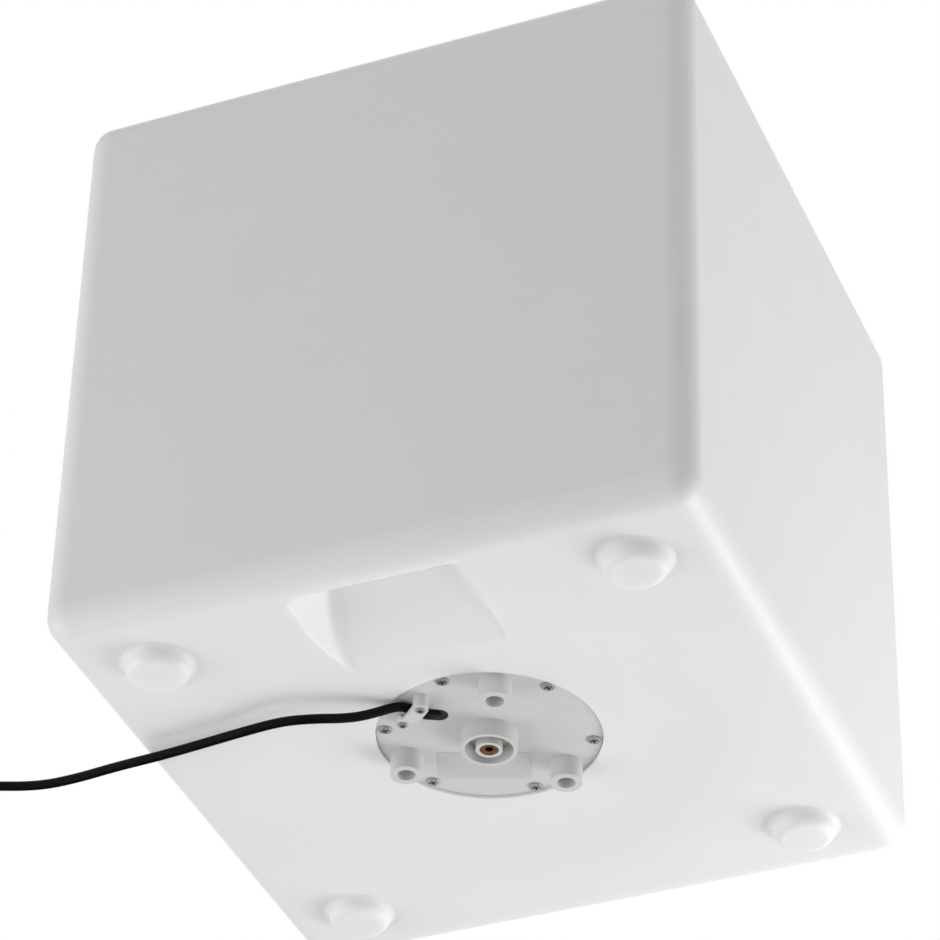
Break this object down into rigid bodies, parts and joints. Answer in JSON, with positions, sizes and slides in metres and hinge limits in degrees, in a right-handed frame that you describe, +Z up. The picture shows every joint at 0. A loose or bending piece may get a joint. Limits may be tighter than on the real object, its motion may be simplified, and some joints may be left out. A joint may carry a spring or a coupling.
{
  "type": "led cube light",
  "caption": "Hollow moulded cube light for a garden or porch, on short feet, lit by a screw-in lamp on a round base plate, with a finger grip, cord clamp, cord and plug.",
  "frame": {"origin": "on the floor under the middle of the cube, at the level of the feet's soles", "axes": "+Z up; -Y is the face above the finger grip; +X to the right of someone who faces that side"},
  "size_m": [0.5609, 0.4275, 0.4],
  "materials": {
    "shell_polyethylene": "translucent white rotationally moulded polyethylene, fine satin",
    "plate_abs": "pale grey injection-moulded plastic",
    "gasket_rubber": "soft sealing sheet",
    "screw_steel": "zinc-plated",
    "insert_brass": "turned",
    "label_foil": "blank silver-grey sticker",
    "clamp_nylon": "moulded",
    "bush_rubber": "moulded",
    "bracket_steel": "zinc-plated strip",
    "holder_plastic": "thermoset",
    "liner_metal": "nickel-plated, drawn",
    "contact_brass": "sprung strip",
    "cap_metal": "nickel-plated, rolled thread",
    "insulator_glass": "dark insulator",
    "lamp_plastic": "white moulded",
    "board_aluminium": "white solder resist",
    "led_phosphor": "yellow phosphor",
    "driver_fibreglass": "green board",
    "dome_opal": "opal polycarbonate",
    "terminal_nylon": "moulded",
    "core_brown": "smooth insulation",
    "core_blue": "smooth insulation",
    "cord_pvc": "smooth black sheath",
    "tie_nylon": "black strap",
    "plug_pvc": "moulded black",
    "pin_brass": "nickel-plated"
  },
  "bodies": {
    "base": {"base_plate": "plate_abs", "fixing_cup": "plate_abs", "base_gasket": "gasket_rubber", "plate_screws": "screw_steel", "fixing_insert": "insert_brass", "rating_label": "label_foil", "cord_clamp": "clamp_nylon", "clamp_screws": "screw_steel", "cord_grommet": "bush_rubber", "holder_bracket": "bracket_steel", "bracket_screws": "screw_steel", "holder_nipple": "bracket_steel", "nipple_nut": "bracket_steel", "lampholder_body": "holder_plastic", "lampholder_liner": "liner_metal", "centre_contact": "contact_brass", "side_contact": "contact_brass", "terminal_block": "terminal_nylon", "terminal_screws": "screw_steel", "live_core": "core_brown", "neutral_core": "core_blue", "live_lead": "core_brown", "neutral_lead": "core_blue", "inner_cord": "cord_pvc", "power_cord": "cord_pvc", "cord_coil": "cord_pvc", "plug_cord": "cord_pvc", "coil_tie": "tie_nylon", "plug_body": "plug_pvc", "plug_pins": "pin_brass"},
    "shell": {"cube_shell": "shell_polyethylene"},
    "lamp": {"lamp_cap": "cap_metal", "lamp_insulator": "insulator_glass", "lamp_tip": "cap_metal", "lamp_body": "lamp_plastic", "led_board": "board_aluminium", "led_chips": "led_phosphor", "driver_board": "driver_fibreglass", "lamp_dome": "dome_opal"}
  },
  "joints": [
    {"name": "shell_lift", "type": "slide", "parent": "base", "child": "shell", "axis": [0, 0, 1], "range_m": [0, 0.3]},
    {"name": "lamp_turn", "type": "hinge", "parent": "base", "child": "lamp", "pos_m": [0, 0, 0.1], "axis": [0, 0, 1], "range_deg": [0, 1980]}
  ]
}
